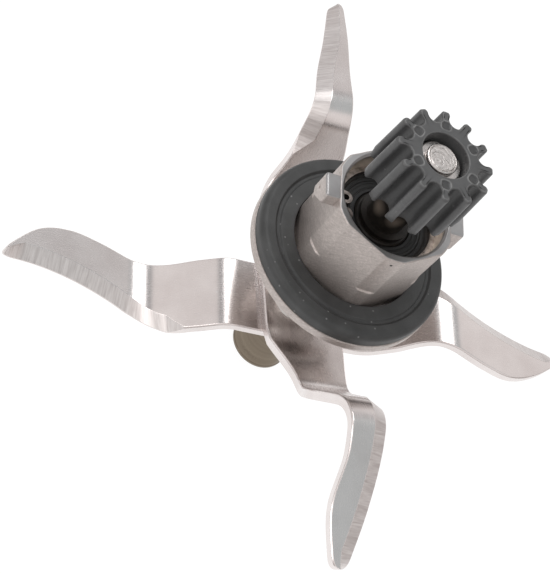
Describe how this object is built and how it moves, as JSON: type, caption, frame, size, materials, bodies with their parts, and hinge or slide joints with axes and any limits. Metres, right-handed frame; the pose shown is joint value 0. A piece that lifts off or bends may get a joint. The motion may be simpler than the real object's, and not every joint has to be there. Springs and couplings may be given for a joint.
{
  "type": "blender blade assembly",
  "caption": "Blender blade assembly: bent blades on a shaft that spins in a flanged, sealed bearing housing, driven by a splined gear.",
  "frame": {"origin": "on the shaft's axis, in the flange's seat face, where the jar seal lies", "axes": "+Z along the shaft towards the drive gear, +X along the rising arm of the blade next to the cap"},
  "size_m": [0.1211, 0.1304, 0.0806],
  "materials": {
    "cast_steel": "fine grained cast steel, satin",
    "seal_rubber": "moulded rubber, matt",
    "black_rubber": "moulded rubber, matt",
    "bearing_steel": "ground and polished",
    "turned_steel": "turned, satin",
    "spring_steel": "stamped spring steel, satin",
    "cage_plastic": "moulded plastic",
    "gear_plastic": "moulded plastic, satin",
    "blade_steel": "rolled stainless sheet, satin, with ground cutting bevels",
    "cap_steel": "turned and polished stainless steel"
  },
  "bodies": {
    "housing": {"bearing_housing": "cast_steel", "jar_seal": "seal_rubber", "gear_end_outer_race": "bearing_steel", "gear_end_shields": "black_rubber", "blade_end_outer_race": "bearing_steel", "blade_end_shields": "black_rubber", "outer_spacer": "turned_steel", "housing_retaining_ring": "spring_steel", "shaft_seal_case": "turned_steel", "shaft_seal_lip": "black_rubber", "seal_garter_spring": "bearing_steel"},
    "rotor": {"gear_end_inner_race": "bearing_steel", "blade_end_inner_race": "bearing_steel", "inner_spacer": "turned_steel", "shaft_retaining_ring": "spring_steel", "drive_shaft": "turned_steel", "drive_gear": "gear_plastic", "rivet_washer": "bearing_steel", "seal_sleeve": "bearing_steel", "blade_collar": "turned_steel", "flange_side_blade": "blade_steel", "cap_side_blade": "blade_steel", "blade_washer": "turned_steel", "cap_nut": "cap_steel"},
    "gear_end_ball_set": {"gear_end_balls": "bearing_steel", "gear_end_cage": "cage_plastic"},
    "blade_end_ball_set": {"blade_end_balls": "bearing_steel", "blade_end_cage": "cage_plastic"}
  },
  "joints": [
    {"name": "rotor_spin", "type": "hinge", "parent": "housing", "child": "rotor", "pos_m": [0, 0, 0], "axis": [0, 0, 1], "continuous": true},
    {"name": "gear_end_balls_spin", "type": "hinge", "parent": "housing", "child": "gear_end_ball_set", "pos_m": [0, 0, 0.0108], "axis": [0, 0, 1], "continuous": true},
    {"name": "blade_end_balls_spin", "type": "hinge", "parent": "housing", "child": "blade_end_ball_set", "pos_m": [0, 0, -0.0017], "axis": [0, 0, 1], "continuous": true}
  ],
  "couplings": [
    {"joint": "gear_end_balls_spin", "follows": "rotor_spin", "ratio": 0.3677},
    {"joint": "blade_end_balls_spin", "follows": "rotor_spin", "ratio": 0.3677}
  ]
}
